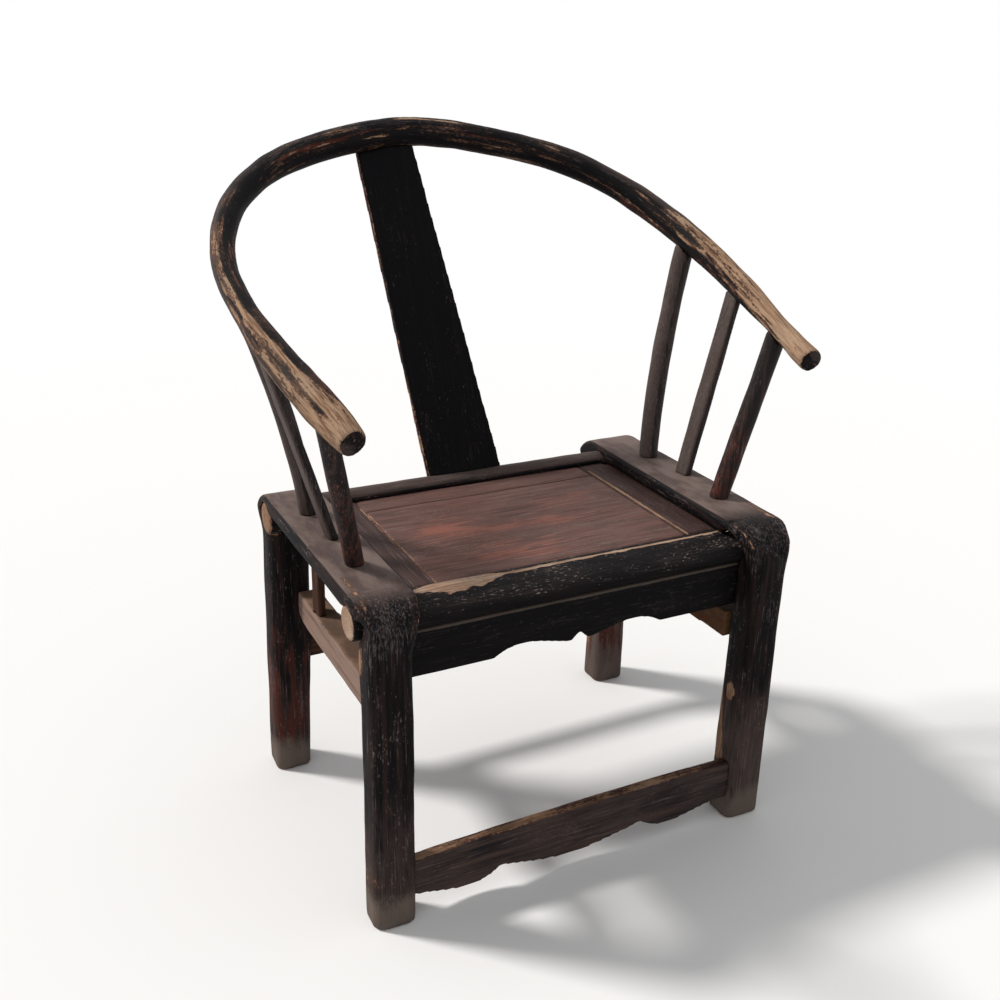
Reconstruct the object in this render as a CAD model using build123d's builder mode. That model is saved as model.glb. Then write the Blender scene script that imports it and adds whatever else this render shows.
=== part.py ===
"""Horseshoe back armchair in bent willow, in millimetres.

X runs across the chair, -Y is the front and +Z is up. The origin is on the floor, in the
middle of the chair's outline seen from above. Each side of the base is one bent pole: front
leg, side rail and rear leg in one inverted U, wrapped over the ends of two round seat rails.
"""
import os
from math import cos, hypot, pi

from build123d import *

os.makedirs("parts", exist_ok=True)

# ---------------------------------------------------------------- driving dimensions
FIT = 0.1                  # clearance round every piece let into another
OVERLAP = 4.0              # how far a tenon's root runs back into its own piece
TENON_CORNER = 1.0         # rounded corners of the flat tenons

# bent frames: one front leg, side rail and rear leg each
# each leg: distance from the middle plane, Y, width and depth, at the floor and at its flare
FRONT_LEGS = {
    "left": [(247.5, -262.0, 51.0, 46.0), (247.5, -262.0, 49.5, 46.0)],
    "right": [(240.5, -262.0, 54.0, 47.0), (241.5, -262.0, 49.0, 46.0)],
}
REAR_LEGS = {
    "left": [(256.5, 84.5, 49.0, 48.0), (251.0, 85.5, 47.5, 48.0)],
    "right": [(257.0, 103.5, 50.0, 47.0), (255.5, 102.5, 48.0, 47.0)],
}
LEG_CORNER_RADIUS = 13.0
FRONT_LEG_INNER_X = 222.5  # where the cross boards in front enter the legs
REAR_LEG_INNER_X = 232.0
SIDE_RAIL_TOP = 403.0
SIDE_RAIL_THICKNESS = 20.0
SIDE_RAIL_INNER_X = 206.0
SIDE_RAIL_OUTER_X = 280.0
RAIL_FRONT_INNER_X = 214.0 # the rail narrows to this as it turns down into the front leg
RAIL_FRONT_OUTER_X = 269.5
RAIL_FULL_WIDTH_Y = -238.0 # full width from here back
BEND_RADIUS = 43.0         # outer radius where a leg turns into the side rail
BEND_EASE = 0.5            # the bend is cut this much outside the straight faces it joins
FLARE_START = 338.0        # height where a leg begins to widen into the side rail
FLARE_STEPS = 4
FRAME_EDGE_RADIUS = 6.5    # worn long edges
ARMPIT_RADIUS = 9.0        # inside corner of leg and side rail

# round seat rails held in the bends
FRONT_LOG_Y = -236.0
FRONT_LOG_Z = 373.0
FRONT_LOG_DIAMETER = 40.0
REAR_LOG_Y = 66.0
REAR_LOG_Z = 373.5
REAR_LOG_DIAMETER = 41.0
LOG_END_X = 279.0
LOG_END_ROUNDING = 2.5

# seat
SEAT_TOP = 383.5
SEAT_THICKNESS = 14.0
SEAT_FRONT_Y = -205.5      # joint between the seat and the front rail
SEAT_JOINT_Y = 14.0        # glued joint between the wide board and the narrow one
SEAT_HALF_WIDTH = 165.0    # seam between the boards and the end battens
BATTEN_GAP_REAR = 3.0      # shrinkage gap between a batten and its side rail
BATTEN_GAP_FRONT = 9.0
TONGUE_THICKNESS = 5.0
TONGUE_LENGTH = 7.0
SEAT_REAR_Y = 53.0         # back edge of the seat, inside the rear log's groove
BATTEN_LIP = 8.0           # how far a batten runs on under its side rail
BATTEN_LIP_REAR_Y = 44.0
KEY_X = 88.0               # dovetail keys under the boards
KEY_WIDTH = 28.0
KEY_HEIGHT = 18.0
KEY_NECK_WIDTH = 16.0
KEY_HEAD_WIDTH = 21.0
KEY_HEAD_DEPTH = 5.0
KEY_FRONT_Y = -200.0
KEY_REAR_Y = 40.0

# front seat rail between the frames
NOSE_ARRIS_Y = -215.0      # worn front arris of the seat's edge
NOSE_FRONT_Y = -260.0
NOSE_FRONT_Z = 366.0
NOSE_FOOT_Y = -241.0
NOSE_TANGENTS = [(-1, -0.1), (1, -0.5)]
RAIL_UNDERSIDE = 352.0
NOSE_HALF_WIDTH = 218.0    # the seat's edge is let into the bends

# aprons
FRONT_APRON_Y = -246.0     # front face
FRONT_APRON_THICKNESS = 17.0
FRONT_APRON_BOTTOM = 295.5
APRON_CUSP_RISE = 10.0     # small notch in the middle of the lower edge
APRON_LOBE_X = 11.0
APRON_ARCH = [(38.0, 5.5), (62.0, 10.5), (88.0, 10.0)]   # rise of the flat arch beside it
APRON_STEP_X = 111.0       # where the arch meets the straight end
APRON_LAP = 12.0           # how far each end is let into its leg
REAR_APRON_Y = 74.0        # front face
REAR_APRON_THICKNESS = 18.0
REAR_APRON_BOTTOM = 160.0
# its top edge, low across the middle and rising in a bracket to each leg: X and Z
REAR_APRON_TOP = [(150.0, 192.0), (177.0, 206.5), (204.0, 229.5), (232.0, 256.0)]
APRON_TENON_LENGTH = 20.0
APRON_TENON_THICKNESS = 9.0
APRON_TENON_INSET = 8.0

# front stretcher
STRETCHER_FRONT_Y = -275.0
STRETCHER_THICKNESS = 16.0
STRETCHER_TOP = [(-222.5, 76.5), (70.0, 82.0), (222.5, 80.5)]   # X and Z of its top edge
STRETCHER_SHIFT = -13.0    # the sawn outline sits a little to the left
STRETCHER_BELLY_Z = 18.5   # lowest point of the middle
STRETCHER_FLANK = (52.0, 23.5)
STRETCHER_NOTCH = (97.5, 32.5)
STRETCHER_TOES = [(124.0, 19.5), (156.0, 19.5)]
STRETCHER_END_Z = 29.5     # lower edge where it meets the legs
STRETCHER_TENON_LENGTH = 24.0
STRETCHER_TENON_THICKNESS = 10.0
STRETCHER_TENON_INSET = 8.0

# side stretcher boards and the struts on them
SIDE_BOARD_OUTER_X = 243.0
SIDE_BOARD_THICKNESS = 29.0
SIDE_BOARD_TOP = {"left": 267.0, "right": 283.0}
SIDE_BOARD_FRONT_Z = {"left": 227.0, "right": 248.0}   # lower edge at the front leg
SIDE_BOARD_BELLY_Z = {"left": 227.0, "right": 237.0}   # and before it turns up to the rear leg
SIDE_BOARD_REAR_RISE = 11.0
SIDE_BOARD_REAR_BEND = 50.0
SLOT_SIZE = (4.0, 9.0)     # old mortises in the left board's top edge
SLOT_DEPTH = 8.0
SLOT_X = 239.0
SLOT_YS = (-145.0, 1.0)
SIDE_TENON_X = 238.5
SIDE_TENON_LENGTH = 14.0
SIDE_TENON_THICKNESS = 6.0
SIDE_TENON_INSET = 5.0
STRUT_X = 236.0
STRUT_Y = -6.0
STRUT_WIDTH = 10.0
STRUT_DEPTH = 26.0
STRUT_TENON = 4.5
STRUT_TENON_INSET = 2.0
STRUT_EDGE_RADIUS = 2.0
BOARD_EDGE_RADIUS = 2.0

# horseshoe crest rail: half of its centre line, from the back to an arm's tip
CREST_BACK = (0.0, 272.0, 816.3)
CREST_SHOULDER = (109.0, 253.0, 805.2)
CREST_QUARTER = (205.0, 213.0, 782.0)
CREST_BEND = (277.0, 146.0, 743.5)
CREST_FLANK = (311.0, 65.0, 703.0)
CREST_WIDEST = (318.0, -24.0, 669.5)
CREST_ARM = (308.0, -140.0, 630.5)
CREST_TIP_LEFT = (285.6, -288.5, 586.8)
CREST_TIP_RIGHT = (291.6, -249.5, 598.2)   # the right arm is cut shorter
# place along the crest rail from the left tip, and its diameter there
CREST_DIAMETERS = [
    (0.0, 28.5), (0.14, 32.0), (0.36, 34.5), (0.5, 38.0),
    (0.64, 36.5), (0.76, 36.0), (0.88, 32.0), (1.0, 29.0),
]
CREST_TIP_ROUNDING = 2.5

# back splat
SPLAT_THICKNESS = 12.0
SPLAT_FOOT_Y = 76.0        # middle of the plank at the top of the rear log
SPLAT_FOOT_Z = 393.0
SPLAT_FOOT_WIDTH = 108.0
SPLAT_WAIST_WIDTH = 99.0
SPLAT_WAIST_HEIGHT = 140.0
SPLAT_HEAD_WIDTH = 80.0
SPLAT_HEAD_SHIFT = -38.0   # the plank leans to the left as it rises
SPLAT_TENON_THICKNESS = 8.0
SPLAT_TENON_MARGIN = 10.0
SPLAT_TENON_DEPTH = 12.0
SPLAT_SETBACK = 3.0        # its head stands this far behind the crest rail's centre
SPLAT_TRIM = 12.0          # extra length coped away at the foot
SPLAT_HEAD_GAP = 14.0      # the plank itself stops this far below the crest rail's centre

# arm spindles: foot on the side rail, Y where each meets the crest rail, and sideways bow
REAR_SPINDLES = {
    "left": ((247.5, -5.0), -20.0, (-10.0, 0.0)), "right": ((254.5, 5.0), 45.0, (-5.0, 6.0)),
}
MIDDLE_SPINDLES = {
    "left": ((242.5, -84.0), -56.0, (0.0, 0.0)), "right": ((255.0, -71.0), -69.0, (0.0, 0.0)),
}
FRONT_SPINDLES = {
    "left": ((243.0, -162.5), -226.0, (0.0, 0.0)), "right": ((251.0, -161.0), -173.0, (0.0, 0.0)),
}
REAR_SPINDLE_DIAMETERS = {"left": 23.0, "right": 26.0}
FRONT_SPINDLE_DIAMETERS = {"left": 22.0, "right": 24.5}
MIDDLE_SPINDLE_WIDTH = 11.0
MIDDLE_SPINDLE_DEPTH = 26.0
FLAT_SPINDLE_CORNER = 3.0
SPINDLE_TRIM = 12.0        # extra length sawn flush at the foot
SPINDLE_TENON_DIAMETER = 13.0
FOOT_TENON = 15.0          # depth of a spindle's foot tenon in the side rail
HEAD_TENON_PAST = 4.0      # how far a head tenon passes the crest rail's centre
FLAT_TENON_WIDTH = 7.0
FLAT_TENON_DEPTH = 17.0
HEAD_TENON_ROOT = 24.0     # how far a head tenon's root lies below the crest rail's centre

# ---------------------------------------------------------------- derived places
SIDE_RAIL_UNDERSIDE = SIDE_RAIL_TOP - SIDE_RAIL_THICKNESS
SEAT_UNDERSIDE = SEAT_TOP - SEAT_THICKNESS
TONGUE_Z = (SEAT_TOP + SEAT_UNDERSIDE) / 2
SIDE_RAIL_WIDTH = SIDE_RAIL_OUTER_X - SIDE_RAIL_INNER_X
BATTEN_LIP_X = SIDE_RAIL_INNER_X + BATTEN_LIP
BATTEN_LIP_TOP = SIDE_RAIL_UNDERSIDE - FIT
STRETCHER_MIDDLE_Y = STRETCHER_FRONT_Y + STRETCHER_THICKNESS / 2
REAR_APRON_MIDDLE_Y = REAR_APRON_Y + REAR_APRON_THICKNESS / 2
BATTEN_REAR_X = SIDE_RAIL_INNER_X - BATTEN_GAP_REAR
BATTEN_FRONT_X = SIDE_RAIL_INNER_X - BATTEN_GAP_FRONT
SPLAT_RUN = CREST_BACK[1] + SPLAT_SETBACK - SPLAT_FOOT_Y
SPLAT_RISE = CREST_BACK[2] - SPLAT_FOOT_Z
SPLAT_LENGTH = hypot(SPLAT_RUN, SPLAT_RISE)   # from its foot to the crest rail's centre
BISECTIONS = 40            # halvings when a point is looked up on the crest rail
SIDES = {"left": -1, "right": 1}


def finish(part, name):
    """Label a finished piece and write its STEP file."""
    part.label = name
    export_step(part, f"parts/{name}.step")


def block(low, high):
    """A plain block between two corners."""
    with BuildPart() as solid:
        with Locations([tuple((a + b) / 2 for a, b in zip(low, high))]):
            Box(*(abs(b - a) for a, b in zip(low, high)))
    return solid.part


def leg_faces(legs):
    """Foremost and rearmost Y that a leg reaches between the floor and its flare."""
    return min(y - depth / 2 for _, y, _, depth in legs), max(y + depth / 2 for _, y, _, depth in legs)


def mirrored(solid, side):
    """The right-hand piece itself, or its mirror image for the left-hand side."""
    if side > 0:
        return solid
    with BuildPart() as other:
        mirror(solid, about=Plane.YZ)
    return other.part


def log(y, z, diameter, half_length):
    """A round seat rail lying across the chair."""
    with BuildPart() as pole:
        with BuildSketch(Plane.YZ):
            with Locations((y, z)):
                Circle(diameter / 2)
        extrude(amount=half_length, both=True)
    return pole.part


# ---------------------------------------------------------------- crest rail blank
def crest_line():
    """Centre line of the horseshoe, from the left tip round the back to the right tip."""
    shared = [CREST_ARM, CREST_WIDEST, CREST_FLANK, CREST_BEND, CREST_QUARTER, CREST_SHOULDER]
    left = [(-x, y, z) for x, y, z in [CREST_TIP_LEFT, *shared]]
    right = [*reversed(shared), CREST_TIP_RIGHT]
    with BuildLine() as line:
        Spline(*left, CREST_BACK, *right)
    return line.line


def on_crest(line, side, y):
    """Point of the centre line on one side at the given Y."""
    low, high = (0.0, 0.5) if side < 0 else (1.0, 0.5)
    for _ in range(BISECTIONS):
        middle = (low + high) / 2
        if (line @ middle).Y < y:
            low = middle
        else:
            high = middle
    return line @ low


def crest_blank(line, margin=0.0):
    """The bent pole before its mortises are cut, thickest at the back."""
    with BuildPart() as pole:
        with BuildLine():
            add(line)
        for place, diameter in CREST_DIAMETERS:
            with BuildSketch(Plane(origin=line @ place, x_dir=(0, 0, 1), z_dir=line % place)):
                Circle(diameter / 2 + margin)
        sweep(multisection=True)
        fillet(pole.edges().sort_by(SortBy.LENGTH)[:2], CREST_TIP_ROUNDING)
    return pole.part


CREST_LINE = crest_line()
CREST_BLANK = crest_blank(CREST_LINE)
CREST_COPE = crest_blank(CREST_LINE, FIT)
REAR_LOG_COPE = log(REAR_LOG_Y, REAR_LOG_Z, REAR_LOG_DIAMETER + 2 * FIT, LOG_END_X)

# ---------------------------------------------------------------- bent frame blanks
def frame_leg(legs, rail_low, rail_high):
    """A right-hand leg, from the floor to where it has flared out to the side rail."""
    top_x, top_y, top_width, top_depth = legs[1]
    with BuildPart() as post:
        for height, (x, y, width, depth) in zip((0, FLARE_START), legs):
            with BuildSketch(Plane.XY.offset(height)):
                with Locations((x, y)):
                    RectangleRounded(width, depth, LEG_CORNER_RADIUS)
        loft()
        for step in range(FLARE_STEPS + 1):
            share = step / FLARE_STEPS
            eased = (1 - cos(pi * share)) / 2
            low = top_x - top_width / 2
            high = top_x + top_width / 2
            low += (rail_low - low) * eased
            high += (rail_high - high) * eased
            height = FLARE_START + (SIDE_RAIL_UNDERSIDE - FLARE_START) * share
            with BuildSketch(Plane.XY.offset(height)):
                with Locations(((low + high) / 2, top_y)):
                    RectangleRounded(high - low, top_depth, LEG_CORNER_RADIUS)
        loft()
    return post.part


def side_rail(front_y, rear_y):
    """The flat side rail as seen from above, narrowed where it turns down in front."""
    with BuildPart() as rail:
        with BuildSketch(Plane.XY.offset(SIDE_RAIL_UNDERSIDE)):
            with BuildLine():
                inner = Spline(
                    (RAIL_FRONT_INNER_X, front_y), (SIDE_RAIL_INNER_X, RAIL_FULL_WIDTH_Y),
                    tangents=[(0, 1), (0, 1)],
                )
                outer = Spline(
                    (RAIL_FRONT_OUTER_X, front_y), (SIDE_RAIL_OUTER_X, RAIL_FULL_WIDTH_Y),
                    tangents=[(0, 1), (0, 1)],
                )
                Line(inner @ 0, outer @ 0)
                Polyline(
                    inner @ 1, (SIDE_RAIL_INNER_X, rear_y), (SIDE_RAIL_OUTER_X, rear_y), outer @ 1
                )
            make_face()
        extrude(amount=SIDE_RAIL_THICKNESS)
    return rail.part


def frame_blank(front_legs, rear_legs):
    """A right-hand pole bent into an inverted U, before anything is let into it."""
    front_face, front_leg_rear = leg_faces(front_legs)
    rear_leg_front, rear_face = leg_faces(rear_legs)
    posts = [
        frame_leg(front_legs, RAIL_FRONT_INNER_X, RAIL_FRONT_OUTER_X),
        frame_leg(rear_legs, SIDE_RAIL_INNER_X, SIDE_RAIL_OUTER_X),
        side_rail(front_face, rear_face),
    ]
    with BuildPart() as posts_and_rail:
        add(posts)
    with BuildPart() as frame:
        with BuildSketch(Plane.YZ.offset(SIDE_RAIL_INNER_X)) as side_view:
            with Locations(((front_face + rear_face) / 2, SIDE_RAIL_TOP / 2)):
                Rectangle(rear_face - front_face + 2 * BEND_EASE, SIDE_RAIL_TOP)
            fillet(side_view.vertices().group_by(Axis.Y)[-1], BEND_RADIUS + BEND_EASE)
            with Locations(((front_leg_rear + rear_leg_front) / 2, SIDE_RAIL_UNDERSIDE / 2)):
                Rectangle(
                    rear_leg_front - front_leg_rear - 2 * BEND_EASE, SIDE_RAIL_UNDERSIDE,
                    mode=Mode.SUBTRACT,
                )
            armpits = side_view.vertices().filter_by_position(
                Axis.Y, SIDE_RAIL_UNDERSIDE - 1, SIDE_RAIL_UNDERSIDE + 1
            )
            fillet(armpits, ARMPIT_RADIUS)
        extrude(amount=SIDE_RAIL_WIDTH)
        sides = frame.faces().filter_by(Axis.X)
        rims = sides.edges().filter_by_position(Axis.Z, FRAME_EDGE_RADIUS, SIDE_RAIL_TOP)
        fillet(rims, FRAME_EDGE_RADIUS)
        add(posts_and_rail.part, mode=Mode.INTERSECT)
    return frame.part


FRAME_BLANKS = {name: frame_blank(FRONT_LEGS[name], REAR_LEGS[name]) for name in SIDES}


# ---------------------------------------------------------------- arm spindles
def section(width, depth, corner, margin=0.0):
    """A spindle's or tenon's section: round when width and depth match, else flat."""
    with BuildSketch() as outline:
        if width == depth:
            Circle(width / 2 + margin)
        else:
            RectangleRounded(width + 2 * margin, depth + 2 * margin, corner)
    return outline.sketch


def spindle_axis(side, foot, head_y, bow):
    """Centre line of a spindle, from inside the side rail to the crest rail's centre."""
    start = Vector(side * foot[0], foot[1], SIDE_RAIL_TOP)
    head = on_crest(CREST_LINE, side, head_y)
    rise = (head - start).normalized()
    middle = (start + head) / 2 + Vector(side * bow[0], bow[1], 0)
    with BuildLine() as axis:
        Spline(start - rise * SPINDLE_TRIM, middle, head)
    return axis.line


def tenon_along(root, direction, shape, length):
    """A straight tenon of the given section."""
    with BuildPart() as tenon:
        with BuildSketch(Plane(origin=root, x_dir=(1, 0, 0), z_dir=direction)):
            add(shape)
        extrude(amount=length)
    return tenon.part


def spindle_tenons(axis, shape, fit=0.0):
    """Foot and head tenons of a spindle; with a fit, the mortises that take them."""
    up_at_foot = axis % 0.0
    foot_root = axis @ 0.0 + up_at_foot * (SPINDLE_TRIM + OVERLAP)
    foot = tenon_along(foot_root, up_at_foot * -1, shape, OVERLAP + FOOT_TENON + fit)
    up_at_head = axis % 1.0
    head_root = axis @ 1.0 - up_at_head * HEAD_TENON_ROOT
    head = tenon_along(head_root, up_at_head, shape, HEAD_TENON_ROOT + HEAD_TENON_PAST + fit)
    return foot, head


def spindle(side, foot, head_y, bow, body_size, tenon_size):
    """One arm spindle, sawn flush on the side rail and coped under the crest rail."""
    axis = spindle_axis(side, foot, head_y, bow)
    body_shape = section(*body_size, FLAT_SPINDLE_CORNER)
    with BuildPart() as bar:
        with BuildLine():
            add(axis)
        with BuildSketch(Plane(origin=axis @ 0, x_dir=(1, 0, 0), z_dir=axis % 0)):
            add(body_shape)
        sweep()
        split(bisect_by=Plane.XY.offset(SIDE_RAIL_TOP), keep=Keep.TOP)
        add(CREST_COPE, mode=Mode.SUBTRACT)
        add(spindle_tenons(axis, section(*tenon_size, TENON_CORNER)))
    mortises = spindle_tenons(axis, section(*tenon_size, TENON_CORNER, FIT), FIT)
    return bar.part, mortises


ROUND_TENON = (SPINDLE_TENON_DIAMETER, SPINDLE_TENON_DIAMETER)
SPINDLES = {
    "rear": (
        REAR_SPINDLES, {name: (size, size) for name, size in REAR_SPINDLE_DIAMETERS.items()},
        ROUND_TENON,
    ),
    "middle": (
        MIDDLE_SPINDLES, dict.fromkeys(SIDES, (MIDDLE_SPINDLE_WIDTH, MIDDLE_SPINDLE_DEPTH)),
        (FLAT_TENON_WIDTH, FLAT_TENON_DEPTH),
    ),
    "front": (
        FRONT_SPINDLES, {name: (size, size) for name, size in FRONT_SPINDLE_DIAMETERS.items()},
        ROUND_TENON,
    ),
}
crest_mortises = []
rail_mortises = {"left": [], "right": []}
for place, (lines, body_sizes, tenon_size) in SPINDLES.items():
    for side_name, side in SIDES.items():
        spindle_part, (foot_mortise, head_mortise) = spindle(
            side, *lines[side_name], body_sizes[side_name], tenon_size
        )
        finish(spindle_part, f"{place}_spindle_{side_name}")
        rail_mortises[side_name].append(foot_mortise)
        crest_mortises.append(head_mortise)


# ---------------------------------------------------------------- back splat
SPLAT_PLANE = Plane(
    origin=(0, SPLAT_FOOT_Y, SPLAT_FOOT_Z), x_dir=(1, 0, 0), z_dir=(0, -SPLAT_RISE, SPLAT_RUN)
)
SPLAT_TOP = SPLAT_LENGTH + HEAD_TENON_PAST


def splat_outline(margin):
    """Face of the plank: wide at the foot, narrow at the head and leaning to the left."""
    stations = [
        (-SPLAT_TRIM * 2, SPLAT_FOOT_WIDTH), (SPLAT_WAIST_HEIGHT, SPLAT_WAIST_WIDTH),
        (SPLAT_TOP + FIT, SPLAT_HEAD_WIDTH),
    ]
    edges = {}
    for side in SIDES.values():
        edges[side] = [
            (SPLAT_HEAD_SHIFT * height / SPLAT_LENGTH + side * (width / 2 - margin), height)
            for height, width in stations
        ]
    with BuildSketch() as outline:
        with BuildLine():
            right = Spline(*edges[1])
            left = Spline(*edges[-1])
            Line(right @ 0, left @ 0)
            Line(right @ 1, left @ 1)
        make_face()
    return outline.sketch


def splat_slab(thickness, low, high, margin=0.0):
    """The length of plank between two heights, narrowed by a margin on each side."""
    with BuildPart() as slab:
        with BuildSketch(SPLAT_PLANE):
            add(splat_outline(margin))
            with Locations((0, (low + high) / 2)):
                Rectangle(2 * SPLAT_FOOT_WIDTH, high - low, mode=Mode.INTERSECT)
        extrude(amount=thickness / 2, both=True)
    return slab.part


def splat_tenons(fit=0.0):
    """Foot and head tenons of the splat; with a fit, the mortises that take them."""
    thickness = SPLAT_TENON_THICKNESS + 2 * fit
    margin = SPLAT_TENON_MARGIN - fit
    foot = splat_slab(thickness, -SPLAT_TENON_DEPTH - fit, OVERLAP, margin)
    head = splat_slab(thickness, SPLAT_LENGTH - HEAD_TENON_ROOT, SPLAT_TOP + fit, margin)
    return foot, head


with BuildPart() as back_splat:
    add(splat_slab(SPLAT_THICKNESS, -SPLAT_TRIM, SPLAT_LENGTH - SPLAT_HEAD_GAP))
    add([CREST_COPE, REAR_LOG_COPE], mode=Mode.SUBTRACT)
    add(splat_tenons())
finish(back_splat.part, "back_splat")
splat_foot_mortise, splat_head_mortise = splat_tenons(FIT)

# ---------------------------------------------------------------- crest rail
with BuildPart() as crest_rail:
    add(CREST_BLANK)
    add([*crest_mortises, splat_head_mortise], mode=Mode.SUBTRACT)
finish(crest_rail.part, "crest_rail")


# ---------------------------------------------------------------- front apron
def pair_of_blocks(low, high):
    """A block and its mirror image across the chair, for the tenons of a cross board."""
    return [mirrored(block(low, high), side) for side in SIDES.values()]


with BuildPart() as front_apron:
    with BuildSketch(Plane.XZ.offset(-FRONT_APRON_Y)):
        with BuildLine():
            cusp = Line(
                (0, FRONT_APRON_BOTTOM + APRON_CUSP_RISE), (APRON_LOBE_X, FRONT_APRON_BOTTOM)
            )
            rises = [(x, FRONT_APRON_BOTTOM + rise) for x, rise in APRON_ARCH]
            arch = Spline(cusp @ 1, *rises, (APRON_STEP_X, FRONT_APRON_BOTTOM))
            Polyline(
                arch @ 1, (FRONT_LEG_INNER_X, FRONT_APRON_BOTTOM),
                (FRONT_LEG_INNER_X, RAIL_UNDERSIDE), (0, RAIL_UNDERSIDE), cusp @ 0,
            )
        make_face()
        mirror(about=Plane.YZ)
    extrude(amount=-FRONT_APRON_THICKNESS)
    apron_back = FRONT_APRON_Y + FRONT_APRON_THICKNESS
    lap_low = (FRONT_LEG_INNER_X - OVERLAP, FRONT_APRON_Y, FRONT_APRON_BOTTOM)
    lap_high = (FRONT_LEG_INNER_X + APRON_LAP, apron_back, FLARE_START)
    add(pair_of_blocks(lap_low, lap_high))
finish(front_apron.part, "front_apron")

# ---------------------------------------------------------------- rear apron
with BuildPart() as rear_apron:
    with BuildSketch(Plane.XZ.offset(-REAR_APRON_Y)):
        with BuildLine():
            middle = (0, REAR_APRON_TOP[0][1])
            bracket = Spline(*REAR_APRON_TOP, tangents=[(1, 0), (1, 1)])
            Polyline(
                bracket @ 1, (REAR_LEG_INNER_X, REAR_APRON_BOTTOM), (0, REAR_APRON_BOTTOM),
                middle, bracket @ 0,
            )
        make_face()
        mirror(about=Plane.YZ)
    extrude(amount=-REAR_APRON_THICKNESS)
    tenon_low = (
        REAR_LEG_INNER_X - OVERLAP, REAR_APRON_MIDDLE_Y - APRON_TENON_THICKNESS / 2,
        REAR_APRON_BOTTOM + APRON_TENON_INSET,
    )
    tenon_high = (
        REAR_LEG_INNER_X + APRON_TENON_LENGTH, REAR_APRON_MIDDLE_Y + APRON_TENON_THICKNESS / 2,
        REAR_APRON_TOP[-1][1] - APRON_TENON_INSET,
    )
    add(pair_of_blocks(tenon_low, tenon_high))
finish(rear_apron.part, "rear_apron")

# ---------------------------------------------------------------- front stretcher
with BuildPart() as front_stretcher:
    with BuildSketch(Plane.XZ.offset(-STRETCHER_FRONT_Y)):
        shift = STRETCHER_SHIFT
        flank_x, flank_z = STRETCHER_FLANK
        notch_x, notch_z = STRETCHER_NOTCH
        with BuildLine():
            belly = Spline(
                (shift - notch_x, notch_z), (shift - flank_x, flank_z),
                (shift, STRETCHER_BELLY_Z),
                (shift + flank_x, flank_z), (shift + notch_x, notch_z),
            )
            right_toe = Spline(
                belly @ 1, *((shift + x, z) for x, z in STRETCHER_TOES),
                (FRONT_LEG_INNER_X, STRETCHER_END_Z),
            )
            left_toe = Spline(
                belly @ 0, *((shift - x, z) for x, z in STRETCHER_TOES),
                (-FRONT_LEG_INNER_X, STRETCHER_END_Z),
            )
            crown = Spline(*STRETCHER_TOP)
            Line(right_toe @ 1, crown @ 1)
            Line(left_toe @ 1, crown @ 0)
        make_face()
    extrude(amount=-STRETCHER_THICKNESS)
    top_face = front_stretcher.faces().sort_by(Axis.Z)[-1]
    fillet(top_face.edges().sort_by(SortBy.LENGTH)[-2:], BOARD_EDGE_RADIUS)
    tenon_low = (
        FRONT_LEG_INNER_X - OVERLAP, STRETCHER_MIDDLE_Y - STRETCHER_TENON_THICKNESS / 2,
        STRETCHER_END_Z + STRETCHER_TENON_INSET,
    )
    tenon_high = (
        FRONT_LEG_INNER_X + STRETCHER_TENON_LENGTH,
        STRETCHER_MIDDLE_Y + STRETCHER_TENON_THICKNESS / 2,
        STRETCHER_TOP[0][1] - STRETCHER_TENON_INSET,
    )
    add(pair_of_blocks(tenon_low, tenon_high))
finish(front_stretcher.part, "front_stretcher")

# ---------------------------------------------------------------- side boards and struts
def side_strut(board_top):
    """A right-hand strut, tenoned into the board below and the side rail above."""
    low = (STRUT_X - STRUT_WIDTH / 2, STRUT_Y - STRUT_DEPTH / 2, board_top)
    high = (STRUT_X + STRUT_WIDTH / 2, STRUT_Y + STRUT_DEPTH / 2, SIDE_RAIL_UNDERSIDE)
    inset = STRUT_TENON_INSET
    with BuildPart() as strut:
        add(block(low, high))
        fillet(strut.edges().filter_by(Axis.Z), STRUT_EDGE_RADIUS)
        add(
            block(
                (low[0] + inset, low[1] + inset, board_top - STRUT_TENON),
                (high[0] - inset, high[1] - inset, SIDE_RAIL_UNDERSIDE + STRUT_TENON),
            )
        )
    return strut.part


def side_board(side_name, strut):
    """A right-hand side board, tenoned into the legs of its frame."""
    front_end = leg_faces(FRONT_LEGS[side_name])[1]
    rear_end = leg_faces(REAR_LEGS[side_name])[0]
    top = SIDE_BOARD_TOP[side_name]
    belly = SIDE_BOARD_BELLY_Z[side_name]
    rear_z = belly + SIDE_BOARD_REAR_RISE
    with BuildPart() as board:
        with BuildSketch(Plane.YZ.offset(SIDE_BOARD_OUTER_X - SIDE_BOARD_THICKNESS)):
            with BuildLine():
                rising = Spline(
                    (rear_end - SIDE_BOARD_REAR_BEND, belly), (rear_end, rear_z),
                    tangents=[(1, 0), (1, 1)],
                )
                Polyline(
                    rising @ 1, (rear_end, top), (front_end, top),
                    (front_end, SIDE_BOARD_FRONT_Z[side_name]), rising @ 0,
                )
            make_face()
        extrude(amount=SIDE_BOARD_THICKNESS)
        fillet(board.faces().sort_by(Axis.Z)[-1].edges().filter_by(Axis.Y), BOARD_EDGE_RADIUS)
        add(
            block(
                (SIDE_TENON_X - SIDE_TENON_THICKNESS / 2, front_end - SIDE_TENON_LENGTH,
                 max(rear_z, SIDE_BOARD_FRONT_Z[side_name])),
                (SIDE_TENON_X + SIDE_TENON_THICKNESS / 2, rear_end + SIDE_TENON_LENGTH,
                 top - SIDE_TENON_INSET),
            )
        )
        add([strut, rear_apron.part], mode=Mode.SUBTRACT)
    return board.part


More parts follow.
